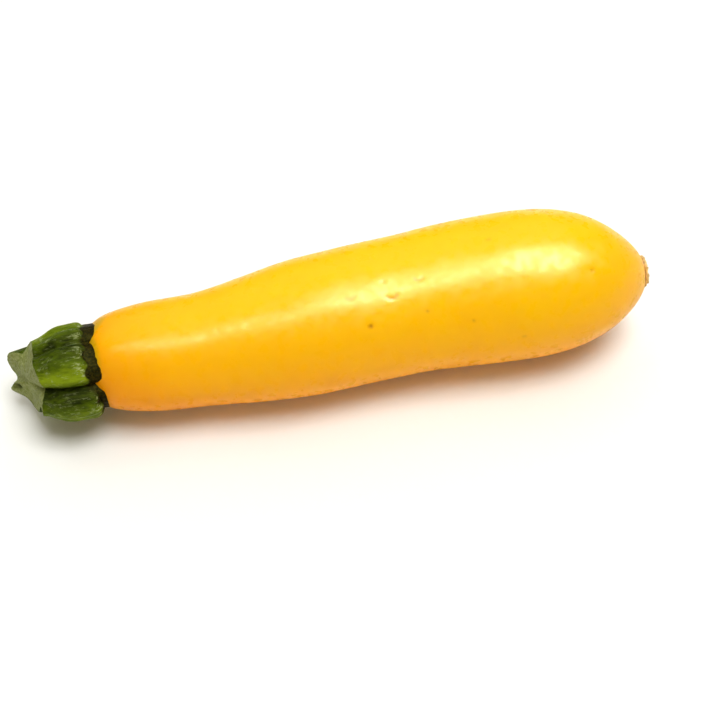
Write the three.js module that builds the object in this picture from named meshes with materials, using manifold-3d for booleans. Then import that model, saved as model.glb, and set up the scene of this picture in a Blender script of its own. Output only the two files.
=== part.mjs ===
// A yellow zucchini (courgette) as picked, lying on its belly. Units are millimetres, +Z is up.
// The fruit runs along +X, from the stem end to the blossom end. It has three pieces:
// the fruit, the five-ridged stem with its slanting knife cut, and the corky blossom scar.
// It is laid out with x = 0 at the stem joint, and the finished group is then moved so that
// the origin is the centre of the bounding box's bottom face.

import * as THREE from "three";
import { mergeVertices } from "three/addons/utils/BufferGeometryUtils.js";
import Module from "manifold-3d";

const wasm = await Module();
wasm.setup();

// --- Driving dimensions -------------------------------------------------------------------

const FRUIT_LENGTH = 180;
const LARGEST_RADIUS = 24.3;
const CLEARANCE = 0.3; // between the fruit and each piece that sits on it
const WELD = 1e-3; // vertices closer than this are one
const ON_AXIS = 1e-6; // radii under this are the pole of a lathe
const CURVE_SAMPLES = 16; // for each point that a curve is drawn through

// The skin's outline as [share of the length, share of the largest radius], from pole to pole.
const GIRTH = [
  [-0.009, 0],
  [-0.003, 0.3],
  [0.003, 0.46],
  [0.02, 0.605],
  [0.058, 0.685],
  [0.11, 0.725],
  [0.18, 0.745],
  [0.25, 0.81],
  [0.33, 0.885],
  [0.44, 0.92],
  [0.58, 0.945],
  [0.74, 1],
  [0.85, 0.945],
  [0.91, 0.795],
  [0.955, 0.58],
  [0.982, 0.39],
  [0.994, 0.25],
  [0.996, 0.18],
  [0.993, 0],
];

// The centreline's sideways bow and its height over the belly plane, as [x, offset].
const BOW = [
  [-30, 0.9],
  [0, 0.7],
  [30, -0.4],
  [60, 0],
  [105, 3.2],
  [135, 3],
  [160, 2],
  [180, 1],
];
const HEIGHT = [
  [-30, 17.2],
  [0, 18],
  [30, 19],
  [60, 21],
  [100, 22.4],
  [135, 23.8],
  [160, 23.8],
  [180, 23.4],
];

// Shallow lobes of the fruit in step with the stem's ridges: strong at the shoulder, faint beyond.
const LOBE_AT_SHOULDER = 0.45;
const LOBE_ON_BODY = 0.12;
const SHOULDER_REACH = 30;

const FRUIT_SEGMENTS = 56;
const FRUIT_RINGS = 42;

// The stem. Its furrows are angles in degrees from +Y towards +Z, and a ridge fills each gap.
const FURROWS = [14, 84, 150, 222, 294];
const RIDGE_HEIGHTS = [4.8, 4, 5.4, 4, 4.6]; // of the ridge that follows each furrow
const RIDGE_SQUARENESS = 3; // the higher, the flatter the crest and the steeper its sides
const CREST_GROOVE = { depth: 0.5, halfWidth: 0.22 }; // the shallow groove along each crest

// Radius in the furrows, and the ridges' share of their full height, by distance from the joint.
const FURROW_RADIUS = [
  [-7, 12.6],
  [-3, 12.4],
  [0, 11],
  [5, 10.6],
  [14, 9.6],
  [30, 7.4],
];
const RIDGE_RISE = [
  [-7, 0.55],
  [-3, 0.55],
  [-0.6, 0.5],
  [1.2, 0.62],
  [3, 0.96],
  [6, 1.06],
  [16, 0.98],
  [30, 0.72],
];
const STEM_STATIONS = [-6, -4, -2.6, -1.4, -0.4, 0.6, 1.6, 2.6, 4, 6, 9, 12, 15, 18, 21, 24, 27, 30];
const STEM_SEGMENTS = 80;
const STEM_OFFSET = { y: -1.3, z: -0.2 }; // of the stem's axis from the fruit's centreline
const STEM_LEAN = 0.02; // sideways drift of the stem's axis, towards -Y, per millimetre

// The knife cut: a plane turned so that the stem is longest on its +Y side and underneath.
const CUT_AT = 23.4;
const CUT_YAW = 22;
const CUT_PITCH = 6;
const OFFCUT_SIZE = 80;

// The blossom scar: a ragged, dished disc, as [share of its radius, share of its rim's height].
const SCAR_RADIUS = 5;
const SCAR_RIM_HEIGHT = 1.5;
const SCAR_PROFILE = [
  [0, 0],
  [0.8, 0],
  [0.96, 0.25],
  [1, 0.6],
  [0.9, 1],
  [0.72, 0.8],
  [0.5, 0.45],
  [0, 0.4],
];
const SCAR_SEAT = 1; // from the fruit's pole to the disc, so that the disc clears the skin
const SCAR_SEGMENTS = 48;
const SCAR_TEETH = [5, 9, 14]; // waves round the rim that make it ragged
const SCAR_RAGGED = 0.05;

// --- Helpers ------------------------------------------------------------------------------

// A smooth curve through [x, value] pairs, read as value = f(x).
function curveThrough(pairs) {
  const curve = new THREE.SplineCurve(pairs.map(([x, v]) => new THREE.Vector2(x, v)));
  const samples = curve.getPoints(pairs.length * CURVE_SAMPLES);
  return (x) => {
    if (x <= samples[0].x) return samples[0].y;
    const next = samples.findIndex((p) => p.x >= x);
    if (next < 0) return samples[samples.length - 1].y;
    const [a, b] = [samples[next - 1], samples[next]];
    return THREE.MathUtils.mapLinear(x, a.x, b.x, a.y, b.y);
  };
}

// Calls move on each vertex of a geometry.
function moveVertices(geometry, move) {
  const position = geometry.getAttribute("position");
  const vertex = new THREE.Vector3();
  for (let i = 0; i < position.count; i++) {
    vertex.fromBufferAttribute(position, i);
    move(vertex);
    position.setXYZ(i, vertex.x, vertex.y, vertex.z);
  }
  return geometry;
}

// A lathe turned about the X axis, from Vector2 points of (radius, x), with x rising.
function latheAlongX(points, segments) {
  return new THREE.LatheGeometry(points, segments).rotateZ(-Math.PI / 2);
}

// The angle of a vertex round the X axis, in degrees from +Y towards +Z, from 0 to 360.
function angleAboutX(vertex) {
  const degrees = THREE.MathUtils.radToDeg(Math.atan2(vertex.z, vertex.y));
  return THREE.MathUtils.euclideanModulo(degrees, 360);
}

// Moves a vertex straight out from the X axis, or in, to the given distance.
function setRadius(vertex, radius) {
  const now = Math.hypot(vertex.y, vertex.z);
  if (now < ON_AXIS) return;
  vertex.y *= radius / now;
  vertex.z *= radius / now;
}

// A geometry as a solid that can be joined and cut.
function solidFrom(geometry) {
  const bare = geometry.clone();
  bare.deleteAttribute("normal");
  bare.deleteAttribute("uv");
  const merged = mergeVertices(bare, WELD);
  return new wasm.Manifold(
    new wasm.Mesh({
      numProp: 3,
      vertProperties: new Float32Array(merged.attributes.position.array),
      triVerts: new Uint32Array(merged.index.array),
    }),
  );
}

// A solid as a geometry again.
function geometryFrom(solid) {
  const mesh = solid.getMesh();
  const geometry = new THREE.BufferGeometry();
  geometry.setAttribute("position", new THREE.BufferAttribute(mesh.vertProperties, 3));
  geometry.setIndex(new THREE.BufferAttribute(mesh.triVerts, 1));
  geometry.computeVertexNormals();
  return geometry;
}

// --- Centreline and ridges ----------------------------------------------------------------

const bowAt = curveThrough(BOW);
const heightAt = curveThrough(HEIGHT);

// Where an angle lies between two furrows: the ridge's index, and -1 to 1 from side to side.
function placeOnRidge(degrees) {
  const count = FURROWS.length;
  for (let i = 0; i < count; i++) {
    const from = FURROWS[i];
    const width = THREE.MathUtils.euclideanModulo(FURROWS[(i + 1) % count] - from, 360);
    const into = THREE.MathUtils.euclideanModulo(degrees - from, 360);
    if (into < width) return { ridge: i, across: (2 * into) / width - 1 };
  }
  return { ridge: 0, across: -1 };
}

// --- Fruit --------------------------------------------------------------------------------

// The fruit's closed skin, grown outwards by a margin.
function fruitSkin(margin) {
  const outline = new THREE.SplineCurve(
    GIRTH.map(([along, girth]) => new THREE.Vector2(girth * LARGEST_RADIUS, along * FRUIT_LENGTH)),
  );
  const profile = outline.getSpacedPoints(FRUIT_RINGS).map((point, i) => {
    const tangent = outline.getTangentAt(i / FRUIT_RINGS);
    const grown = new THREE.Vector2(point.x + tangent.y * margin, point.y - tangent.x * margin);
    if (i === 0 || i === FRUIT_RINGS) grown.x = 0;
    return grown;
  });
  return moveVertices(latheAlongX(profile, FRUIT_SEGMENTS), (vertex) => {
    const { across } = placeOnRidge(angleAboutX(vertex));
    const lobe = Math.cos(Math.PI * across);
    const nearShoulder = Math.exp(-((vertex.x / SHOULDER_REACH) ** 2));
    const depth = LOBE_ON_BODY + (LOBE_AT_SHOULDER - LOBE_ON_BODY) * nearShoulder;
    const radius = Math.hypot(vertex.y, vertex.z);
    setRadius(vertex, radius * (1 + (depth * lobe) / LARGEST_RADIUS));
    vertex.y += bowAt(vertex.x);
    vertex.z = Math.max(vertex.z + heightAt(vertex.x), -margin);
  });
}

// --- Stem ---------------------------------------------------------------------------------

const furrowRadiusAt = curveThrough(FURROW_RADIUS);
const ridgeRiseAt = curveThrough(RIDGE_RISE);

// The stem's radius at a distance from the joint and an angle about its axis.
function stemRadius(fromJoint, degrees) {
  const { ridge, across } = placeOnRidge(degrees);
  const groove = CREST_GROOVE.depth * Math.exp(-((across / CREST_GROOVE.halfWidth) ** 2));
  const crest = RIDGE_HEIGHTS[ridge] * (1 - Math.abs(across) ** RIDGE_SQUARENESS) - groove;
  return furrowRadiusAt(fromJoint) + ridgeRiseAt(fromJoint) * crest;
}

// The stem before the knife cut, run on into the fruit's shoulder.
function stemBlank() {
  const first = STEM_STATIONS[0];
  const last = STEM_STATIONS[STEM_STATIONS.length - 1];
  const rings = STEM_STATIONS.map((station) => new THREE.Vector2(1, -station)).reverse();
  const profile = [new THREE.Vector2(0, -last), ...rings, new THREE.Vector2(0, -first)];
  return moveVertices(latheAlongX(profile, STEM_SEGMENTS), (vertex) => {
    const fromJoint = -vertex.x;
    setRadius(vertex, stemRadius(fromJoint, angleAboutX(vertex)));
    vertex.y += bowAt(0) + STEM_OFFSET.y - STEM_LEAN * fromJoint;
    vertex.z += heightAt(vertex.x) + STEM_OFFSET.z;
  });
}

// All that the knife takes off: a block beyond the cut plane.
function offcut() {
  return new THREE.BoxGeometry(OFFCUT_SIZE, OFFCUT_SIZE, OFFCUT_SIZE)
    .translate(-OFFCUT_SIZE / 2, 0, 0)
    .rotateZ(THREE.MathUtils.degToRad(CUT_YAW))
    .rotateY(THREE.MathUtils.degToRad(CUT_PITCH))
    .translate(-CUT_AT, 0, heightAt(0));
}

// The stem, fitted to the fruit's shoulder and cut to length.
function stemGeometry() {
  const stem = solidFrom(stemBlank())
    .subtract(solidFrom(fruitSkin(CLEARANCE)))
    .subtract(solidFrom(offcut()));
  return geometryFrom(stem);
}

// --- Blossom scar -------------------------------------------------------------------------

// The dry rim that the flower leaves in the dimple at the blossom end.
function scarGeometry() {
  const pole = GIRTH[GIRTH.length - 1][0] * FRUIT_LENGTH;
  const profile = SCAR_PROFILE.map(
    ([out, up]) => new THREE.Vector2(out * SCAR_RADIUS, up * SCAR_RIM_HEIGHT),
  );
  return moveVertices(latheAlongX(profile, SCAR_SEGMENTS), (vertex) => {
    const angle = THREE.MathUtils.degToRad(angleAboutX(vertex));
    const ragged = SCAR_TEETH.reduce((sum, waves, i) => sum + Math.sin(waves * angle + i), 0);
    const radius = Math.hypot(vertex.y, vertex.z);
    setRadius(vertex, radius * (1 + SCAR_RAGGED * ragged * (radius / SCAR_RADIUS)));
    vertex.x += pole + SCAR_SEAT;
    vertex.y += bowAt(FRUIT_LENGTH);
    vertex.z += heightAt(FRUIT_LENGTH);
  });
}

// --- The zucchini -------------------------------------------------------------------------

const finishes = {
  fruit: new THREE.MeshStandardMaterial({ color: 0xfcc400, roughness: 0.3, metalness: 0 }),
  stem: new THREE.MeshStandardMaterial({ color: 0x586a18, roughness: 0.5, metalness: 0 }),
  blossom_scar: new THREE.MeshStandardMaterial({ color: 0xb08d4a, roughness: 0.9, metalness: 0 }),
};

// A named piece in its own finish.
function piece(name, geometry) {
  const mesh = new THREE.Mesh(geometry, finishes[name]);
  mesh.name = name;
  return mesh;
}

const zucchini = new THREE.Group();
zucchini.name = "yellow_zucchini";
zucchini.add(
  piece("fruit", fruitSkin(0)),
  piece("stem", stemGeometry()),
  piece("blossom_scar", scarGeometry()),
);

const bounds = new THREE.Box3().setFromObject(zucchini);
const middle = bounds.getCenter(new THREE.Vector3());
zucchini.position.set(-middle.x, -middle.y, -bounds.min.z);

export default zucchini;
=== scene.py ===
"""A yellow zucchini lying on its belly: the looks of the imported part.

The frame gives the size, the place and the collision of three pieces. Here each piece gets its fine
surface and its finish: the waxy rind of the fruit, the ridged green stem with its knife cut, and the
corky blossom scar. Then come the floor, the lights and the camera. Shapes are worked out in
millimetres from the stem joint, and a finished mesh is in metres in the shared frame.
"""

import logging
import math
from dataclasses import dataclass, field
from enum import Enum
from typing import Sequence

import bmesh
import bpy
import numpy as np
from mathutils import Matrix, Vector, noise


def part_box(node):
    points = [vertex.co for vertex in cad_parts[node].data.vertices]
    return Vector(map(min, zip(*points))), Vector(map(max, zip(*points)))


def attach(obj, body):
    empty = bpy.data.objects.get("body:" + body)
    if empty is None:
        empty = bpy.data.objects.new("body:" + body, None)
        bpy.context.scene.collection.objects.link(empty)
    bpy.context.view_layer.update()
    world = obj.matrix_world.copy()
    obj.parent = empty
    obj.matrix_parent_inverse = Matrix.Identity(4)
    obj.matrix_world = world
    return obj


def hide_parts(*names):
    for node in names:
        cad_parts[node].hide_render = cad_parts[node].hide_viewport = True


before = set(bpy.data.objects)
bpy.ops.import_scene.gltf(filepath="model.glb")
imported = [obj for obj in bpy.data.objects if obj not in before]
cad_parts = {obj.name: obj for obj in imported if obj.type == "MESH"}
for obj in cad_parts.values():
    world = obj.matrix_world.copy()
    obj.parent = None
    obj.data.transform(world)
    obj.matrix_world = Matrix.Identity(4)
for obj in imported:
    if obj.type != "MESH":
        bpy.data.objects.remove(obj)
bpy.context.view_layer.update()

LOG = logging.getLogger("zucchini")
MM = 0.001
FULL_TURN = 360.0
WELD = 1e-7
SHARE, UNDER, OVER, MIXED = 0, 6, 7, 2  # the sockets of a colour Mix node: three inputs and its output


# --- Shapes -----------------------------------------------------------------------------------


class SmoothCurve:
    """A curve with no kinks through a few points: a natural cubic spline."""

    def __init__(self, knots: Sequence[float], values: Sequence) -> None:
        """Works out the curve's bend at each knot.

        Args:
            knots: where the points stand along the curve, in rising order.
            values: the value at each knot, a number or a point.
        """
        self.knots = np.array(knots, float)
        self.values = np.array(values, float)
        count = len(self.knots)
        gap = np.diff(self.knots)
        slope = np.diff(self.values, axis=0) / gap.reshape(-1, *[1] * (self.values.ndim - 1))
        system = np.eye(count)
        change = np.zeros_like(self.values)
        for i in range(1, count - 1):
            system[i, i - 1 : i + 2] = gap[i - 1], 2 * (gap[i - 1] + gap[i]), gap[i]
            change[i] = 6 * (slope[i] - slope[i - 1])
        self.bends = np.linalg.solve(system, change)

    @classmethod
    def through(cls, pairs: Sequence[tuple[float, float]]) -> "SmoothCurve":
        """The curve value = f(x) through (x, value) pairs."""
        return cls([x for x, _ in pairs], [value for _, value in pairs])

    @classmethod
    def along(cls, points: Sequence[tuple[float, float]]) -> "SmoothCurve":
        """A curve in the plane through points, with its chord length as its parameter."""
        steps = np.linalg.norm(np.diff(np.array(points, float), axis=0), axis=1)
        return cls(np.concatenate([[0.0], np.cumsum(steps)]), points)

    def at(self, where: float) -> np.ndarray:
        """The value at a place along the knots, which is held inside their range.

        Args:
            where: the place, in the knots' own unit.

        Returns:
            The value there: a number, or a point as an array.
        """
        where = min(max(where, self.knots[0]), self.knots[-1])
        i = min(int(np.searchsorted(self.knots, where, side="right")) - 1, len(self.knots) - 2)
        gap = self.knots[i + 1] - self.knots[i]
        b = (where - self.knots[i]) / gap
        a = 1 - b
        bend = (a**3 - a) * self.bends[i] + (b**3 - b) * self.bends[i + 1]
        return a * self.values[i] + b * self.values[i + 1] + bend * gap**2 / 6


def smooth_step(low: float, high: float, x: float) -> float:
    """0 below low, 1 above high, and an even ease between them."""
    t = min(max((x - low) / (high - low), 0.0), 1.0)
    return t * t * (3 - 2 * t)


def bump(distance: float, reach: float) -> float:
    """A round bump of height 1 that fades out by about twice its reach."""
    return math.exp(-((distance / reach) ** 2))


def mix(a: float, b: float, share: float) -> float:
    """The value a share of the way from a to b."""
    return a + (b - a) * share


def turn_between(a: float, b: float) -> float:
    """The signed angle from b to a, in degrees, from -180 to 180."""
    return (a - b + FULL_TURN / 2) % FULL_TURN - FULL_TURN / 2


def ringed_tube(rings: int, around: int) -> bmesh.types.BMesh:
    """A closed tube of radius 1 along X, with rings at x = 1, 2, 3 and so on, and a pole at each end.

    Args:
        rings: how many rings there are between the poles.
        around: how many vertices each ring has.

    Returns:
        The tube. Ring and angle can be read back from a vertex by ring_and_angle.
    """
    bm = bmesh.new()
    chain = [bm.verts.new((0, 0, 0))]
    chain += [bm.verts.new((x, 1, 0)) for x in range(1, rings + 1)]
    chain.append(bm.verts.new((rings + 1, 0, 0)))
    edges = [bm.edges.new(pair) for pair in zip(chain, chain[1:])]
    bmesh.ops.spin(
        bm,
        geom=chain + edges,
        cent=(0, 0, 0),
        axis=(1, 0, 0),
        angle=math.tau,
        steps=around,
        use_merge=True,
    )
    bmesh.ops.remove_doubles(bm, verts=bm.verts, dist=WELD)
    return bm


def ring_and_angle(co: Vector) -> tuple[int, float]:
    """Which ring of a ringed tube a vertex is on, and its angle from +Y towards +Z in degrees."""
    return round(co.x), math.degrees(math.atan2(co.z, co.y)) % FULL_TURN


def outward(around: float) -> Vector:
    """The direction away from the axis at an angle from +Y towards +Z, in degrees."""
    return Vector((0, math.cos(math.radians(around)), math.sin(math.radians(around))))


@dataclass(frozen=True)
class Waviness:
    """Soft, uneven swellings of one height and one size, in millimetres."""

    height: float
    size: float

    def at(self, spot: Vector) -> float:
        """How far the surface is raised or sunk at a place."""
        return self.height * noise.noise(spot / self.size)


def finished_piece(bm: bmesh.types.BMesh, name: str, finish: bpy.types.Material) -> bpy.types.Object:
    """Turns a mesh in millimetres into a smooth-shaded object in metres, in its finish.

    Args:
        bm: the mesh, which is freed.
        name: the object's name.
        finish: its material.

    Returns:
        The object, at the origin.
    """
    bmesh.ops.remove_doubles(bm, verts=bm.verts, dist=WELD)
    bmesh.ops.recalc_face_normals(bm, faces=bm.faces)
    bmesh.ops.scale(bm, vec=(MM, MM, MM), verts=bm.verts)
    for face in bm.faces:
        face.smooth = True
    mesh = bpy.data.meshes.new(name)
    bm.to_mesh(mesh)
    bm.free()
    mesh.materials.append(finish)
    piece = bpy.data.objects.new(name, mesh)
    bpy.context.scene.collection.objects.link(piece)
    return piece


@dataclass(frozen=True)
class Growth:
    """Where the zucchini grew: the places in the frame that its three pieces share.

    The centreline's Y and its height above the floor are drawn against the distance from the joint.
    """

    joint_x: float  # where the stem joint is along X
    bow: SmoothCurve = SmoothCurve.through(
        [
            (-30, -1.9),
            (0, -2.1),
            (30, -3.2),
            (60, -2.8),
            (105, 0.4),
            (135, 0.2),
            (160, -0.8),
            (180, -1.8),
        ]
    )
    height: SmoothCurve = SmoothCurve.through(
        [
            (-30, 17.2),
            (0, 18),
            (30, 19),
            (60, 21),
            (100, 22.4),
            (135, 23.8),
            (160, 23.8),
            (180, 23.4),
        ]
    )

    @classmethod
    def in_frame(cls, dimple: float = 1.6) -> "Growth":
        """Finds the joint in the frame: it stands a dimple's depth in from the fruit's low end."""
        low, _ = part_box("fruit")
        return cls(joint_x=low.x / MM + dimple)

    def centre(self, along: float) -> Vector:
        """The fruit's centreline at a distance from the stem joint, in the frame."""
        return Vector((self.joint_x + along, self.bow.at(along), self.height.at(along)))


# --- Finishes ---------------------------------------------------------------------------------


def linear(hex_colour: str) -> tuple[float, float, float, float]:
    """Turns an sRGB colour to linear light.

    Args:
        hex_colour: the colour as #RRGGBB.

    Returns:
        Linear red, green and blue, and an alpha of 1.
    """
    parts = [int(hex_colour[i : i + 2], 16) / 255 for i in (1, 3, 5)]
    channels = [c / 12.92 if c <= 0.04045 else ((c + 0.055) / 1.055) ** 2.4 for c in parts]
    return (*channels, 1.0)


def per_metre(millimetres: float) -> float:
    """The texture scale at which one cell or wave has this size."""
    return 1 / (millimetres * MM)


class NodeBoard:
    """A material's node tree, built node by node."""

    def __init__(self, name: str) -> None:
        """Starts a material with an empty node tree.

        Args:
            name: the material's name.
        """
        self.material = bpy.data.materials.new(name)
        self.material.use_nodes = True
        self.tree = self.material.node_tree
        self.tree.nodes.clear()

    def add(
        self, kind: str, inputs: dict | None = None, stops: Sequence = (), **settings: object
    ) -> bpy.types.Node:
        """Adds a node with its settings and its links.

        Args:
            kind: the node's type, without the ShaderNode in front.
            inputs: input name or number to a value, or to the output socket that is linked there.
            stops: (place, hex colour or grey level) pairs for a colour ramp.
            settings: the node's own properties.

        Returns:
            The node.
        """
        node = self.tree.nodes.new("ShaderNode" + kind)
        for key, value in settings.items():
            setattr(node, key, value)
        for key, value in (inputs or {}).items():
            if isinstance(value, bpy.types.NodeSocket):
                self.tree.links.new(value, node.inputs[key])
            else:
                node.inputs[key].default_value = value
        for i, (place, level) in enumerate(stops):
            elements = node.color_ramp.elements
            element = elements[i] if i < len(elements) else elements.new(place)
            element.position = place
            element.color = linear(level) if isinstance(level, str) else (level, level, level, 1)
        return node


class Seen(Enum):
    """The vertex values that the shapes hand to their finishes."""

    TINGE = "tinge"  # 1 where the rind is green beside the stem, 0 elsewhere
    BLEMISH = "blemish"  # 1 in a scratch or pit of the rind
    TONE = "tone"  # 1 where the stem's skin is palest, 0 where it is darkest
    RECESS = "recess"  # 1 where a hollow is painted dark: painted shade with the tissue's own dark colour behind the stem's toes, painted shade in the hole of its cut, and the darker middle of the scar's dish
    CUT = "cut"  # 1 on the knife cut
    FLECK = "fleck"  # 1 where the stem is waxy and bristly: whitish hairs and bloom, with painted glints on them


@dataclass(frozen=True)
class WaxyRind:
    """Ripe yellow zucchini rind, a thin skin grown under a clear wax cuticle.

    Light goes a few millimetres into the wet flesh and comes out orange, so shaded sides glow, and the
    wax gives a bright, slightly mottled gloss.
    """

    # From lemon on top down to amber underneath: painted light and shade, with painted warm bounce light
    # low down. Orange beside the stem is the rind's own colour.
    lemon: str = "#FFC600"
    gold: str = "#FFB300"
    orange: str = "#F29600"
    shaded_amber: str = "#BE7400"
    green: str = "#A9A012"
    dark_mark: str = "#B06A08"
    pale_mark: str = "#FFDE66"
    gloss: str = "#FFF6C4"

    def material(self) -> bpy.types.Material:
        """Builds the rind's material.

        Returns:
            The material.
        """
        board = NodeBoard("waxy_zucchini_rind")
        place = board.add("TexCoord").outputs["Object"]
        parts = board.add("SeparateXYZ", {"Vector": place})

        # The rind is orange near the stem, its own colour. Underneath it is painted darker and more
        # orange: painted shade, and painted warm light bounced up from below.
        cloud = board.add("TexNoise", {"Vector": place, "Scale": per_metre(35), "Detail": 3.0})
        lengthwise = board.add(
            "MapRange",
            {"Value": parts.outputs["X"], "From Min": -0.08, "From Max": -0.045, "To Max": 0.25},
        )
        painted_shade_by_height = board.add(
            "MapRange",
            {"Value": parts.outputs["Z"], "From Min": 0.004, "From Max": 0.046, "To Max": 0.62},
        )
        stem_orange_and_painted_shade = board.add("Math", {0: lengthwise.outputs[0], 1: painted_shade_by_height.outputs[0]}, operation="ADD")
        cloudy = board.add(
            "Math", {0: cloud.outputs["Fac"], 1: 0.3, 2: stem_orange_and_painted_shade.outputs[0]}, operation="MULTIPLY_ADD"
        )
        ground = board.add(
            "ValToRGB",
            {0: cloudy.outputs[0]},
            stops=[(0.18, self.shaded_amber), (0.42, self.orange), (0.68, self.gold), (1.0, self.lemon)],
        )

        speck = board.add("TexVoronoi", {"Vector": place, "Scale": per_metre(3.6)}, feature="F1")
        speck_dot = board.add(
            "ValToRGB", {0: speck.outputs["Distance"]}, stops=[(0.08, 1.0), (0.16, 0.0)]
        )
        speck_share = board.add("Math", {0: speck_dot.outputs[0], 1: 0.05}, operation="MULTIPLY")
        specked = board.add(
            "Mix",
            {SHARE: speck_share.outputs[0], UNDER: ground.outputs[0], OVER: linear(self.pale_mark)},
            data_type="RGBA",
        )

        blemish = board.add("Attribute", attribute_name=Seen.BLEMISH.value)
        marked = board.add(
            "Mix",
            {SHARE: blemish.outputs["Fac"], UNDER: specked.outputs[MIXED], OVER: linear(self.dark_mark)},
            data_type="RGBA",
        )
        tinge = board.add("Attribute", attribute_name=Seen.TINGE.value)
        colour = board.add(
            "Mix",
            {SHARE: tinge.outputs["Fac"], UNDER: marked.outputs[MIXED], OVER: linear(self.green)},
            data_type="RGBA",
        )

        # Real patches of thicker wax are finer. They are drawn at 3 mm so that they show.
        patch = board.add("TexNoise", {"Vector": place, "Scale": per_metre(3), "Detail": 2.0})
        gloss = board.add(
            "MapRange",
            {
                "Value": patch.outputs["Fac"],
                "From Min": 0.35,
                "From Max": 0.65,
                "To Min": 0.24,
                "To Max": 0.42,
            },
        )

        shader = board.add(
            "BsdfPrincipled",
            {
                "Base Color": colour.outputs[MIXED],
                "Roughness": gloss.outputs[0],
                "IOR": 1.28,
                "Specular Tint": linear(self.gloss),
                "Subsurface Weight": 0.2,
                "Subsurface Radius": (1.0, 0.5, 0.03),
                "Subsurface Scale": 0.002,
            },
        )
        board.add("OutputMaterial", {"Surface": shader.outputs[0]})
        return board.material


@dataclass(frozen=True)
class StemTissue:
    """The zucchini's peduncle: tough, ribbed green tissue with short stiff hairs, cut by a knife.

    The skin is satin, darker in the furrows and paler on the crests, with whitish flecks where the
    hairs and the bloom catch the light: their own pale colour with painted glints on it. Behind the
    toes it is near-black, the tissue's own dark colour with painted shade. The cut shows pale,
    grey-green fibre, with painted shade in the small hole of its pith. The hairs are too fine to show
    one by one, so the flecks are drawn at 1.3 mm.
    """

    crest: str = "#7C9016"
    rib: str = "#4E600A"
    furrow: str = "#1E2805"
    # recess and collar: the near-black behind the toes and in the pith's hole, painted shade, mixed with
    # the tissue's own dark colour behind the toes
    recess: str = "#0A0802"
    collar: str = "#393108"
    cut: str = "#707A3C"
    pith: str = "#969D66"
    fleck: str = "#B4BF8A"
    gloss: str = "#C6CE6C"

    def material(self) -> bpy.types.Material:
        """Builds the stem's material.

        Returns:
            The material.
        """
        board = NodeBoard("zucchini_stem_tissue")
        place = board.add("TexCoord").outputs["Object"]
        stretched = board.add("Mapping", {"Vector": place, "Scale": (0.3, 1.0, 1.0)})
        fibre = board.add(
            "TexNoise", {"Vector": stretched.outputs["Vector"], "Scale": per_metre(0.9), "Detail": 6.0}
        )
        blotch = board.add("TexNoise", {"Vector": place, "Scale": per_metre(5), "Detail": 3.0})

        tone = board.add("Attribute", attribute_name=Seen.TONE.value)
        light = board.add("Math", {0: tone.outputs["Fac"], 1: 0.6, 2: -0.14}, operation="MULTIPLY_ADD")
        streaked = board.add(
            "Math", {0: fibre.outputs["Fac"], 1: 0.55, 2: light.outputs[0]}, operation="MULTIPLY_ADD"
        )
        blotched = board.add(
            "Math", {0: blotch.outputs["Fac"], 1: 0.4, 2: streaked.outputs[0]}, operation="MULTIPLY_ADD"
        )
        green = board.add(
            "ValToRGB",
            {0: blotched.outputs[0]},
            stops=[(0.3, self.furrow), (0.6, self.rib), (0.95, self.crest)],
        )

        # The hollow behind the toes is near-black, the tissue's own dark colour with painted shade, and
        # the hole in the cut is painted shade.
        recess = board.add("Attribute", attribute_name=Seen.RECESS.value)
        wrinkle = board.add(
            "TexNoise", {"Vector": place, "Scale": per_metre(0.7), "Detail": 4.0, "Roughness": 0.7}
        )
        dark = board.add(
            "ValToRGB", {0: wrinkle.outputs["Fac"]}, stops=[(0.42, self.recess), (0.68, self.collar)]
        )
        shaded = board.add(
            "Mix",
            {SHARE: recess.outputs["Fac"], UNDER: green.outputs[0], OVER: dark.outputs[0]},
            data_type="RGBA",
        )
        # Whitish flecks: the hairs and bloom, with painted glints where they catch the light.
        fleck = board.add("Attribute", attribute_name=Seen.FLECK.value)
        bloom_and_glint = board.add(
            "TexNoise",
            {
                "Vector": stretched.outputs["Vector"],
                "Scale": per_metre(1.3),
                "Detail": 6.0,
                "Roughness": 0.75,
            },
        )
        hair_tip_and_glint = board.add("ValToRGB", {0: bloom_and_glint.outputs["Fac"]}, stops=[(0.54, 0.0), (0.66, 0.8)])
        flecked = board.add(
            "Math", {0: hair_tip_and_glint.outputs[0], 1: fleck.outputs["Fac"]}, operation="MULTIPLY"
        )
        skin = board.add(
            "Mix",
            {SHARE: flecked.outputs[0], UNDER: shaded.outputs[MIXED], OVER: linear(self.fleck)},
            data_type="RGBA",
        )
        cut = board.add("Attribute", attribute_name=Seen.CUT.value)
        flesh = board.add(
            "ValToRGB", {0: wrinkle.outputs["Fac"]}, stops=[(0.35, self.cut), (0.65, self.pith)]
        )
        colour = board.add(
            "Mix",
            {SHARE: cut.outputs["Fac"], UNDER: skin.outputs[MIXED], OVER: flesh.outputs[0]},
            data_type="RGBA",
        )

        coarse = board.add(
            "Math",
            {0: wrinkle.outputs["Fac"], 1: 0.6, 2: fibre.outputs["Fac"]},
            operation="MULTIPLY_ADD",
        )
        relief = board.add("Bump", {"Strength": 0.7, "Distance": 0.0005, "Height": coarse.outputs[0]})
        shader = board.add(
            "BsdfPrincipled",
            {
                "Base Color": colour.outputs[MIXED],
                "Roughness": 0.45,
                "Normal": relief.outputs["Normal"],
                "IOR": 1.15,
                "Specular Tint": linear(self.gloss),
                "Subsurface Weight": 0.05,
                "Subsurface Radius": (0.4, 1.0, 0.15),
                "Subsurface Scale": 0.0015,
            },
        )
        board.add("OutputMaterial", {"Surface": shader.outputs[0]})
        return board.material


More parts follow.
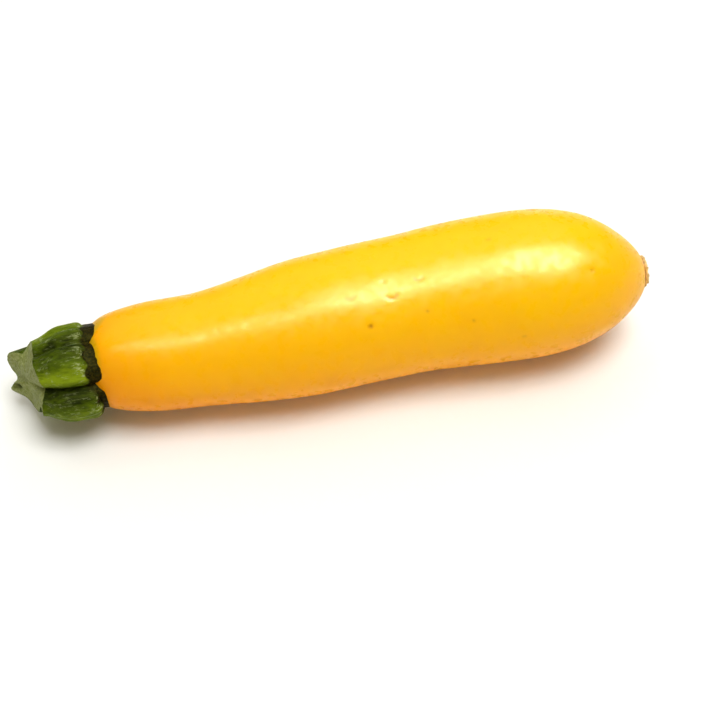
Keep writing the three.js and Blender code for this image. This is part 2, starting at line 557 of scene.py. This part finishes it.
@dataclass(frozen=True)
class ScarCork:
    """Cork that closed the wound where the flower dropped.

    It is dry and crumbly, so it looks matt and tan, and it is browner in its dish.
    """

    tan: str = "#EACD84"
    brown: str = "#B48E4A"
    dish: str = "#7A5A26"

    def material(self) -> bpy.types.Material:
        """Builds the scar's material.

        Returns:
            The material.
        """
        board = NodeBoard("blossom_scar_cork")
        place = board.add("TexCoord").outputs["Object"]
        crumb = board.add("TexNoise", {"Vector": place, "Scale": per_metre(1.2), "Detail": 5.0})
        colour = board.add(
            "ValToRGB", {0: crumb.outputs["Fac"]}, stops=[(0.35, self.brown), (0.6, self.tan)]
        )
        dish = board.add("Attribute", attribute_name=Seen.RECESS.value)
        dished = board.add(
            "Mix",
            {SHARE: dish.outputs["Fac"], UNDER: colour.outputs[0], OVER: linear(self.dish)},
            data_type="RGBA",
        )
        relief = board.add("Bump", {"Strength": 0.6, "Distance": 0.0003, "Height": crumb.outputs["Fac"]})
        shader = board.add(
            "BsdfPrincipled",
            {
                "Base Color": dished.outputs[MIXED],
                "Roughness": 0.85,
                "Normal": relief.outputs["Normal"],
                "IOR": 1.4,
                "Subsurface Weight": 0.1,
                "Subsurface Radius": (1.0, 0.6, 0.3),
                "Subsurface Scale": 0.001,
            },
        )
        board.add("OutputMaterial", {"Surface": shader.outputs[0]})
        return board.material


@dataclass(frozen=True)
class StudioWhite:
    """Matt white paint, rolled on a studio floor: bright, even and without a shine."""

    paint: str = "#EFF0F0"

    def material(self) -> bpy.types.Material:
        """Builds the floor's material.

        Returns:
            The material.
        """
        board = NodeBoard("matt_white_paint")
        shader = board.add("BsdfPrincipled", {"Base Color": linear(self.paint), "Roughness": 0.9})
        board.add("OutputMaterial", {"Surface": shader.outputs[0]})
        return board.material


# --- The fruit --------------------------------------------------------------------------------


@dataclass(frozen=True)
class Mark:
    """A small mark on the rind: a pit, or a scratch that curves round in half a hoop."""

    along: float  # its distance from the joint
    around: float  # its angle round the fruit, in degrees
    radius: float  # how far it reaches, or half the scratch's width
    depth: float
    shade: float  # how dark it is, from 0 to 1
    hoop: float = 0.0  # the radius of a curved scratch, or 0 for a pit
    open_side: tuple[float, float] = (-0.5, 1.0)  # where a hoop fades in, across the fruit

    def strength(self, along: float, radius: float, around: float) -> float:
        """How strongly the mark shows at a place, from 0 to 1.

        Args:
            along: distance from the joint.
            radius: the fruit's radius there.
            around: angle from +Y towards +Z, in degrees.

        Returns:
            1 in the middle of a pit or a scratch, falling off to 0.
        """
        side = math.radians(turn_between(around, self.around)) * radius
        away = math.hypot(along - self.along, side)
        half = smooth_step(*self.open_side, side) if self.hoop else 1.0
        return bump(away - self.hoop, self.radius) * half


@dataclass
class Fruit:
    """The yellow body: a long, gently bowed fruit, thickest towards its conical blossom end.

    The outline is drawn in shares of the length and of the largest radius.
    """

    growth: Growth
    length: float = 180.0
    largest_radius: float = 24.3
    rings: int = 262
    around: int = 288
    outline: Sequence[tuple[float, float]] = (
        (-0.014, 0),
        (-0.009, 0.3),
        (-0.003, 0.46),
        (0.013, 0.572),
        (0.05, 0.662),
        (0.11, 0.722),
        (0.18, 0.745),
        (0.25, 0.81),
        (0.33, 0.885),
        (0.44, 0.92),
        (0.58, 0.945),
        (0.74, 1),
        (0.85, 0.945),
        (0.91, 0.795),
        (0.955, 0.58),
        (0.982, 0.39),
        (0.994, 0.25),
        (0.996, 0.18),
        (0.993, 0),
    )
    swells: Sequence[Waviness] = (
        Waviness(0.45, 34),
        Waviness(0.16, 13),
        Waviness(0.06, 6),
        Waviness(0.014, 2.6),
    )
    lobe_at_shoulder: float = 0.45  # how far the skin stands out in line with a stem ridge
    lobe_on_body: float = 0.12
    shoulder_reach: float = 30.0
    belly_softness: float = 0.25  # how gently the side turns into the flat belly
    stem_end: float = 0.25  # the share of the length that lies at the stem's end
    tinge_reach: float = 1.3
    tinge_strength: float = 0.5
    marks: Sequence[Mark] = (
        Mark(85, 142, 0.7, 0.5, 0.9),
        Mark(93, 121, 0.45, 0.2, 0.55, 1.6),
        Mark(102, 112, 0.45, 0.15, 0.4, 1.3),
        Mark(80, 115, 0.6, 0.12, 0.35, 1.2),
        Mark(91, 110, 0.6, 0.15, 0.35),
        Mark(103, 140, 0.5, 0.2, 0.5),
        Mark(117, 154, 0.5, 0.2, 0.5),
        Mark(126, 92, 0.6, 0.25, 0.4),
        Mark(133, 174, 0.5, 0.2, 0.5),
        Mark(156, 128, 0.6, 0.25, 0.5),
        Mark(60, 300, 0.9, 0.3, 0.5),
        Mark(120, 20, 0.8, 0.3, 0.5),
        Mark(140, 330, 0.7, 0.3, 0.4),
    )
    finish: WaxyRind = field(default_factory=WaxyRind)

    def __post_init__(self) -> None:
        """Draws the outline in millimetres."""
        self.profile = SmoothCurve.along(
            [(along * self.length, girth * self.largest_radius) for along, girth in self.outline]
        )

    def skin_point(self, along: float, radius: float, around: float, ridge: float) -> Vector:
        """A point of the skin.

        Args:
            along: distance from the joint.
            radius: the outline's radius there.
            around: angle from +Y towards +Z, in degrees.
            ridge: 1 in line with a stem ridge's crest, -1 in line with a furrow.

        Returns:
            The point, in the frame, in millimetres.
        """
        near_shoulder = bump(along, self.shoulder_reach)
        lobe = mix(self.lobe_on_body, self.lobe_at_shoulder, near_shoulder) * ridge
        out = outward(around)
        spot = Vector((along, 0, 0)) + out * radius
        swell = sum(waves.at(spot) for waves in self.swells)
        radius *= 1 + (lobe + swell) / self.largest_radius
        for mark in self.marks:
            radius -= mark.depth * mark.strength(along, radius, around)
        point = self.growth.centre(along) + out * radius
        point.z = (point.z + math.hypot(point.z, self.belly_softness)) / 2
        return point

    def blemish(self, along: float, radius: float, around: float) -> float:
        """How marked the skin is at a place, from 0 to 1."""
        return min(sum(mark.shade * mark.strength(along, radius, around) for mark in self.marks), 1.0)

    def build(self, stem: "Stem") -> bpy.types.Object:
        """Models the fruit and dresses it.

        Args:
            stem: the stem that it grew on, whose ridges its shoulder follows.

        Returns:
            The piece.
        """
        bm = ringed_tube(self.rings, self.around)
        tinge = bm.verts.layers.float.new(Seen.TINGE.value)
        blemish = bm.verts.layers.float.new(Seen.BLEMISH.value)
        arc = self.profile.knots[-1]
        stations = [self.profile.at(arc * i / (self.rings + 1)) for i in range(self.rings + 2)]
        for vert in bm.verts:
            ring, around = ring_and_angle(vert.co)
            along, radius = stations[ring]
            ridge = math.cos(math.pi * stem.place_on_ridge(around)[1])
            vert.co = self.skin_point(along, radius, around, ridge)
            past_foot = radius - stem.foot_radius(around)
            if along < self.length * self.stem_end:
                vert[tinge] = self.tinge_strength * (1 - smooth_step(0, self.tinge_reach, past_foot))
            vert[blemish] = self.blemish(along, radius, around)
        return finished_piece(bm, "zucchini_fruit", self.finish.material())


# --- The stem ---------------------------------------------------------------------------------


@dataclass
class Stem:
    """The five-ridged peduncle, with a knuckled toe under each ridge and a slanting knife cut.

    Its side is drawn twice, along a crest and along a furrow, as (distance from the joint, radius)
    points. A pair named for points counts these from 0 at the foot, and a pair named for shares runs
    from 0 at the foot to 1 at the cut.
    """

    growth: Growth
    furrows: Sequence[float] = (24, 86, 157, 226, 310)  # the angle at which each ridge starts
    shallows: Sequence[float] = (0.35, 0.5, 0.0, 0.15, 0.2)  # how filled in each furrow is
    heights: Sequence[float] = (1.0, 0.86, 1.1, 0.95, 1.0)  # how tall each ridge is
    collars: Sequence[float] = (1.45, 1.0, 1.0, 1.0, 1.2)  # how tall each ridge is at its foot
    toes: Sequence[float] = (0.8, 0.5, -2.0, -0.8, 0.4)  # how far each toe stands off the fruit
    squareness: float = 3.4  # how flat-topped the ridges are
    crest_side: Sequence[tuple[float, float]] = (
        (-2.6, 13.3),
        (-1.7, 13.1),
        (-0.8, 13.0),
        (0.1, 13.0),
        (0.8, 13.5),
        (1.3, 14.5),
        (2.5, 15.3),
        (5.2, 15.5),
        (10.0, 15.2),
        (16.0, 14.3),
        (22.0, 13.0),
        (28.0, 11.8),
    )
    furrow_side: Sequence[tuple[float, float]] = (
        (-1.2, 10.4),
        (-0.6, 10.3),
        (0.1, 10.3),
        (0.9, 10.3),
        (1.8, 10.3),
        (2.8, 10.3),
        (4.2, 10.3),
        (7.0, 10.1),
        (11.0, 9.7),
        (16.0, 9.1),
        (22.0, 8.3),
        (28.0, 7.6),
    )
    toe_points: tuple[float, float] = (2, 4)
    instep_points: tuple[float, float] = (5, 9)
    collar_points: tuple[float, float] = (3, 5)
    body_points: tuple[float, float] = (6, 11)
    foot_depth: float = 6.0
    offset_y: float = -1.3
    offset_z: float = -0.2
    lean: float = 0.02

    ribs_per_ridge: int = 3
    rib_height: float = 0.32
    rib_shares: tuple[float, float] = (0.4, 0.6)
    rib_bend: float = 2.0  # how far a rib wanders to the side, in radians of a rib's wave
    rib_bend_length: float = 14.0
    noise_step: float = 3.7  # how far apart two ridges read the noise, so that each bends its own way
    toe_notch: float = 0.9
    streaks: Waviness = Waviness(0.28, 1.5)
    streak_stretch: float = 16 / 3  # how many times longer than wide a streak is
    lumps: Waviness = Waviness(0.18, 3.5)

    cut_rim: Sequence[tuple[float, float]] = (
        (4, 27.2),
        (24, 22.0),
        (41, 18.6),
        (60, 17.8),
        (86, 17.6),
        (102, 17.8),
        (115, 17.4),
        (128, 16.6),
        (140, 16.2),
        (152, 15.4),
        (163, 16.0),
        (182, 17.2),
        (204, 17.8),
        (226, 18.8),
        (264, 21.8),
        (288, 25.0),
        (302, 28.0),
        (316, 26.2),
        (332, 27.0),
        (350, 28.0),
    )  # how far from the joint the cut's rim is, at each angle
    cut_core: float = 21.6  # how far from the joint the middle of the cut is
    cut_slant: float = 0.36  # how much further out it is for each millimetre towards +Y
    cut_dip: float = 0.7
    cut_grain: Sequence[Waviness] = (Waviness(0.3, 1.3), Waviness(0.3, 4))
    hollow: tuple[float, float] = (4.4, -6.6)  # where the pith's small hollow is on the cut
    hollow_lip: tuple[float, float] = (1.2, 2.2)  # its height and reach
    hollow_hole: tuple[float, float] = (2.6, 0.95)  # its depth and reach
    hollow_shade: float = 1.0  # how far its painted shade reaches

    tones: Sequence[tuple[float, float]] = (
        (0, 0.5),
        (24, 0.3),
        (48, 0.75),
        (68, 0.5),
        (86, 0.1),
        (106, 0.15),
        (122, 0.4),
        (142, 1.0),
        (156, 0.1),
        (172, 0.2),
        (192, 0.6),
        (212, 0.5),
        (228, 0.1),
        (266, 0.6),
        (308, 0.15),
        (335, 0.6),
        (360, 0.5),
    )  # how pale the skin is, at each angle
    # Where the painted shade behind the toes ends, as shares, and how its edge wanders: further up the
    # furrows, less far on the ribs.
    recess_shares: tuple[float, float] = (0.34, 0.5)
    recess_edge: Waviness = Waviness(0.05, 1.5)
    recess_in_furrow: float = 0.08
    recess_on_rib: float = 0.02
    # Where the whitish flecks, hairs and bloom with painted glints, show and thin out.
    frost_shares: tuple[float, float] = (0.38, 0.46)
    frost_thinning: tuple[float, float] = (0.5, 0.72)  # the shares over which the flecks and their painted glints thin out
    frost_on_toe: float = 1.2
    frost_on_body: float = 0.4  # as a share of the toe's

    around: int = 360
    side_rings: int = 120
    cut_rings: int = 40
    finish: StemTissue = field(default_factory=StemTissue)

    def __post_init__(self) -> None:
        """Draws the sides of a crest and of a furrow, the cut's rim and the tone."""
        self.last_point = len(self.crest_side) - 1
        self.crest_profile = SmoothCurve(range(len(self.crest_side)), self.crest_side)
        self.furrow_profile = SmoothCurve(range(len(self.furrow_side)), self.furrow_side)
        (first, first_reach), (last, last_reach) = self.cut_rim[0], self.cut_rim[-1]
        self.cut_length = SmoothCurve.through(
            [(last - FULL_TURN, last_reach), *self.cut_rim, (first + FULL_TURN, first_reach)]
        )
        self.tone = SmoothCurve.through(self.tones)

    def place_on_ridge(self, around: float) -> tuple[int, float]:
        """Finds the ridge at an angle.

        Args:
            around: angle from +Y towards +Z, in degrees.

        Returns:
            The ridge's number, and the place across it: -1 and 1 are its furrows, 0 its crest.
        """
        for i, start in enumerate(self.furrows):
            width = (self.furrows[(i + 1) % len(self.furrows)] - start) % FULL_TURN
            into = (around - start) % FULL_TURN
            if into < width:
                return i, 2 * into / width - 1
        return 0, -1.0

    def ridge_weight(self, around: float) -> tuple[int, float]:
        """Finds how high the ridge at an angle stands there.

        Args:
            around: angle from +Y towards +Z, in degrees.

        Returns:
            The ridge's number, and the share of its full height that it has, from 0 to 1.
        """
        ridge, across = self.place_on_ridge(around)
        after = (ridge + 1) % len(self.shallows)
        floor = mix(self.shallows[ridge], self.shallows[after], (across + 1) / 2)
        return ridge, 1 - (1 - floor) * abs(across) ** self.squareness

    def rib(self, around: float, out: float) -> float:
        """Works out the small ribs that run, not quite straight, along each ridge.

        Args:
            around: angle from +Y towards +Z, in degrees.
            out: distance out from the joint.

        Returns:
            1 on a rib and -1 between two.
        """
        ridge, across = self.place_on_ridge(around)
        place = Vector((out / self.rib_bend_length, self.noise_step * ridge, 0.5))
        bend = self.rib_bend * noise.noise(place)
        return math.cos(self.ribs_per_ridge * math.pi * across + bend)

    def foot_radius(self, around: float) -> float:
        """Finds how far out from the axis the stem's foot meets the fruit.

        Args:
            around: angle from +Y towards +Z, in degrees.

        Returns:
            The radius.
        """
        ridge, weight = self.ridge_weight(around)
        (_, in_furrow), (_, on_crest) = self.furrow_side[0], self.crest_side[0]
        return mix(in_furrow, on_crest, weight * self.collars[ridge])

    def axis_point(self, out: float) -> Vector:
        """The stem's axis at a distance out from the joint."""
        y = self.growth.bow.at(0) + self.offset_y - self.lean * out
        return Vector((self.growth.joint_x - out, y, self.growth.height.at(-out) + self.offset_z))

    def side(self, around: float, share: float) -> tuple[float, float]:
        """Works out the outline of the stem's side at an angle.

        Args:
            around: angle from +Y towards +Z, in degrees.
            share: from 0 at the foot to 1 at the cut's rim.

        Returns:
            The distance out from the joint, and the radius.
        """
        ridge, weight = self.ridge_weight(around)
        point = share * self.last_point
        crest_out, crest_radius = self.crest_profile.at(point)
        furrow_out, furrow_radius = self.furrow_profile.at(point)

        between_ribs = 0.5 - 0.5 * self.rib(around, 0.0)
        on_toe = smooth_step(*self.toe_points, point) * (1 - smooth_step(*self.instep_points, point))
        toe = (self.toes[ridge] + self.toe_notch * between_ribs) * on_toe
        out = mix(furrow_out, crest_out + toe, weight)
        full_length = mix(self.furrow_side[-1][0], self.crest_side[-1][0], weight)
        stretch = self.cut_length.at(around) / full_length
        out *= mix(1.0, stretch, smooth_step(*self.body_points, point))

        tall = mix(self.collars[ridge], self.heights[ridge], smooth_step(*self.collar_points, point))
        return out, mix(furrow_radius, crest_radius, weight * tall)

    def shape_side(self, vert: bmesh.types.BMVert, layers: dict, around: float, share: float) -> None:
        """Moves a vertex onto the stem's skin and gives it the skin's values.

        Args:
            vert: the vertex.
            layers: the mesh's layer for each seen value.
            around: angle from +Y towards +Z, in degrees.
            share: from 0 at the foot to 1 at the cut's rim.
        """
        weight = self.ridge_weight(around)[1]
        out, radius = self.side(around, share)
        radial, rib = outward(around), self.rib(around, out)
        spot = Vector((out, 0, 0)) + radial * radius
        radius += self.rib_height * rib * weight * smooth_step(*self.rib_shares, share)
        radius += self.streaks.at(Vector((out / self.streak_stretch, spot.y, spot.z)))
        radius += self.lumps.at(spot)
        vert.co = self.axis_point(out) + radial * radius

        # Behind the toes the skin is painted near-black: painted shade with the tissue's own dark
        # colour.
        start, end = self.recess_shares
        edge = self.recess_in_furrow * (1 - weight) - self.recess_on_rib * rib
        edge += self.recess_edge.at(spot)
        bloom_and_glint = mix(1.0, self.frost_on_body, smooth_step(*self.frost_thinning, share))
        vert[layers[Seen.TONE]] = self.tone.at(around)
        vert[layers[Seen.RECESS]] = 1 - smooth_step(start + edge, end + edge, share)
        vert[layers[Seen.FLECK]] = (
            self.frost_on_toe * bloom_and_glint * weight * smooth_step(*self.frost_shares, share)
        )

    def shape_cut(self, vert: bmesh.types.BMVert, layers: dict, around: float, inward: float) -> None:
        """Moves a vertex onto the knife cut and gives it the cut's values.

        Args:
            vert: the vertex.
            layers: the mesh's layer for each seen value.
            around: angle from +Y towards +Z, in degrees.
            inward: from 0 at the cut's rim to 1 in its middle.
        """
        rim_out, rim_radius = self.side(around, 1.0)
        radial = outward(around)
        rim_above = rim_out - self.cut_core - self.cut_slant * radial.y * rim_radius
        spot = radial * rim_radius * (1 - inward)
        level = self.cut_core + self.cut_slant * spot.y + rim_above * (1 - inward) ** 2
        level -= self.cut_dip * math.sin(math.pi * min(inward, 1.0))
        level += sum(grain.at(spot) for grain in self.cut_grain)

        away = math.hypot(spot.y - self.hollow[0], spot.z - self.hollow[1])
        (lip_height, lip_reach), (hole_depth, hole_reach) = self.hollow_lip, self.hollow_hole
        level += lip_height * bump(away, lip_reach) - hole_depth * bump(away, hole_reach)
        vert.co = self.axis_point(level) + spot
        # The hole is painted near-black: painted shade.
        vert[layers[Seen.RECESS]] = bump(away, self.hollow_shade)
        vert[layers[Seen.CUT]] = 1.0 - bump(away, self.hollow_shade)

    def build(self) -> bpy.types.Object:
        """Models the stem and dresses it.

        Returns:
            The piece.
        """
        bm = ringed_tube(self.side_rings + self.cut_rings, self.around)
        seen_on_stem = (Seen.TONE, Seen.RECESS, Seen.CUT, Seen.FLECK)
        layers = {seen: bm.verts.layers.float.new(seen.value) for seen in seen_on_stem}
        for vert in bm.verts:
            ring, around = ring_and_angle(vert.co)
            if ring == 0:
                vert.co = self.axis_point(-self.foot_depth)
            elif ring <= self.side_rings:
                self.shape_side(vert, layers, around, (ring - 1) / (self.side_rings - 1))
            else:
                self.shape_cut(vert, layers, around, (ring - self.side_rings) / (self.cut_rings + 1))
        return finished_piece(bm, "zucchini_stem", self.finish.material())


# --- The blossom scar -------------------------------------------------------------------------


@dataclass
class BlossomScar:
    """The ragged, dished disc of cork at the blossom end.

    Its outline is drawn in shares of the rim's height and of the radius.
    """

    growth: Growth
    radius: float = 5.3
    rim_height: float = 0.9
    seat: float = 1.0  # how far the disc stands out from the middle of the fruit's end
    outline: Sequence[tuple[float, float]] = (
        (-0.6, 0),
        (-0.5, 0.5),
        (-0.3, 0.85),
        (0.2, 1.0),
        (0.75, 1.0),
        (1.0, 0.9),
        (0.75, 0.76),
        (0.2, 0.6),
        (0.1, 0.3),
        (0.35, 0.1),
        (0.4, 0),
    )
    rim_share: float = 0.5  # how far along the outline the rim's top is
    tatters: Sequence[tuple[float, float]] = ((0.14, 3.1), (0.08, 9.0))  # share of the radius, waves
    crumbs: tuple[float, float] = (0.5, 5.0)  # share of the rim's height, waves
    crack_depth: float = 1.2
    crack_waves: float = 14.0
    crack_least: float = 0.15
    crack_reach: tuple[float, float] = (0.5, 0.9)  # where cracks start and are deepest, by radius
    dish_edge: tuple[float, float] = (0.45, 0.8)  # where the dish's dark middle fades, by radius
    dish_shade: float = 0.8
    rings: int = 40
    around: int = 144
    finish: ScarCork = field(default_factory=ScarCork)

    def rim_point(self, up: float, out: float, around: float) -> Vector:
        """A point of the scar, from the middle of its seat.

        Args:
            up: the outline's height there.
            out: the outline's radius there.
            around: angle from +Y towards +Z, in degrees.

        Returns:
            The point, in millimetres.
        """
        radial = outward(around)
        ragged = sum(share * noise.noise(radial * waves) for share, waves in self.tatters)
        share, waves = self.crumbs
        crumbled = 1 + share * noise.noise(radial * waves + Vector((out, 0, 0)))
        crack = max(noise.noise(radial * self.crack_waves) - self.crack_least, 0.0) * max(up, 0.0)
        crack *= self.crack_depth * smooth_step(*self.crack_reach, out)
        lift = up * self.rim_height * crumbled - crack
        return Vector((lift, 0, 0)) + radial * out * self.radius * (1 + ragged * out)

    def build(self, fruit: Fruit) -> bpy.types.Object:
        """Models the scar and dresses it.

        Args:
            fruit: the fruit that it sits on.

        Returns:
            The piece.
        """
        profile = SmoothCurve.along(self.outline)
        bm = ringed_tube(self.rings, self.around)
        dish = bm.verts.layers.float.new(Seen.RECESS.value)
        middle = self.growth.centre(fruit.length)
        middle.x = self.growth.joint_x + fruit.outline[-1][0] * fruit.length + self.seat
        for vert in bm.verts:
            ring, around = ring_and_angle(vert.co)
            up, out = profile.at(profile.knots[-1] * ring / (self.rings + 1))
            vert.co = middle + self.rim_point(up, out, around)
            if ring > self.rings * self.rim_share:
                vert[dish] = self.dish_shade * (1 - smooth_step(*self.dish_edge, out))
        return finished_piece(bm, "zucchini_blossom_scar", self.finish.material())


# --- The studio -------------------------------------------------------------------------------


@dataclass(frozen=True)
class Softbox:
    """A square-edged area light that faces the zucchini, in metres.

    Its first side is level, and its second lies in the upright plane through it and the zucchini.
    """

    name: str
    place: tuple[float, float, float]
    size: tuple[float, float]
    watts: float
    only_gloss: bool = False  # a reflector card, seen in the gloss but adding no fill
    tint: str = "#FFFFFF"
    aim: tuple[float, float, float] = (0.0, 0.0, 0.02)

    def hang(self) -> None:
        """Adds the light."""
        lamp = bpy.data.lights.new(self.name, "AREA")
        lamp.shape = "RECTANGLE"
        lamp.size, lamp.size_y = self.size
        lamp.energy = self.watts
        lamp.color = linear(self.tint)[:3]
        rig = bpy.data.objects.new(self.name, lamp)
        rig.location = self.place
        rig.visible_diffuse = not self.only_gloss
        ahead = Vector(self.aim) - Vector(self.place)
        rig.rotation_euler = ahead.to_track_quat("-Z", "Y").to_euler()
        bpy.context.scene.collection.objects.link(rig)


@dataclass
class Studio:
    """A pale floor, soft lights and the camera, in metres and degrees."""

    floor_size: float = 4.0
    elevation: float = 50.0
    azimuth: float = -11.3
    distance: float = 0.3746
    lens: float = 60.0  # in millimetres
    nearest: float = 0.01
    aim: tuple[float, float, float] = (0.0046, -0.0198, 0.022)
    sky: str = "#7F7962"  # the room's glow on the zucchini, though the room itself is seen as white
    lights: Sequence[Softbox] = (
        Softbox("overhead", (0.33, -0.15, 1.6), (0.9, 0.9), 21.0),
        Softbox("overhead_gloss", (0.63, -0.25, 1.6), (1.1, 0.98), 168.0, only_gloss=True),
        Softbox("neck_gloss", (-0.51, -0.42, 1.6), (1.0, 0.3), 29.0, only_gloss=True),
        Softbox("back_panel", (0.0, 0.9, 1.1), (2.0, 1.2), 9.5),
        Softbox("front_panel", (-0.5, -1.1, 0.7), (2.0, 1.2), 3.6, tint="#FFEFC4"),
    )
    paint: StudioWhite = field(default_factory=StudioWhite)

    def floor(self) -> None:
        """Lays the floor that the zucchini lies on."""
        bm = bmesh.new()
        bmesh.ops.create_grid(bm, x_segments=1, y_segments=1, size=self.floor_size / 2)
        mesh = bpy.data.meshes.new("floor")
        bm.to_mesh(mesh)
        bm.free()
        mesh.materials.append(self.paint.material())
        floor = bpy.data.objects.new("floor", mesh)
        bpy.context.scene.collection.objects.link(floor)

    def light(self) -> None:
        """Hangs the lights in a pale room, and leaves the colours as the lights make them."""
        for softbox in self.lights:
            softbox.hang()
        world = bpy.data.worlds.new("pale_room")
        world.use_nodes = True
        nodes, links = world.node_tree.nodes, world.node_tree.links
        seen = nodes.new("ShaderNodeLightPath")
        glow = nodes.new("ShaderNodeMix")
        glow.data_type = "RGBA"
        glow.inputs[UNDER].default_value = linear(self.sky)
        glow.inputs[OVER].default_value = linear("#FFFFFF")
        links.new(seen.outputs["Is Camera Ray"], glow.inputs[SHARE])
        links.new(glow.outputs[MIXED], nodes["Background"].inputs["Color"])
        bpy.context.scene.world = world
        bpy.context.scene.view_settings.view_transform = "Standard"

    def camera(self) -> None:
        """Stands the camera above the front of the zucchini, looking down."""
        turn, tilt = math.radians(self.azimuth), math.radians(self.elevation)
        level = math.cos(tilt)
        back = Vector((math.sin(turn) * level, -math.cos(turn) * level, math.sin(tilt)))
        data = bpy.data.cameras.new("camera")
        data.lens = self.lens
        data.clip_start = self.nearest
        rig = bpy.data.objects.new("camera", data)
        rig.location = Vector(self.aim) + back * self.distance
        rig.rotation_euler = (-back).to_track_quat("-Z", "Y").to_euler()
        bpy.context.scene.collection.objects.link(rig)
        bpy.context.scene.camera = rig


def main() -> None:
    """Builds the zucchini piece by piece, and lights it."""
    logging.basicConfig(level=logging.INFO, format="%(name)s: %(message)s")
    growth = Growth.in_frame()
    stem = Stem(growth)
    fruit = Fruit(growth)
    scar = BlossomScar(growth)
    pieces = (
        (fruit.build(stem), "fruit", "skin"),
        (stem.build(), "stem", "stem"),
        (scar.build(fruit), "blossom_scar", "scar"),
    )
    for piece, node, slot in pieces:
        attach(piece, "root")
        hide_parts(node)
        LOG.info("%s has %d faces", piece.name, len(piece.data.polygons))

    studio = Studio()
    studio.floor()
    studio.light()
    studio.camera()


if __name__ == "__main__":
    main()
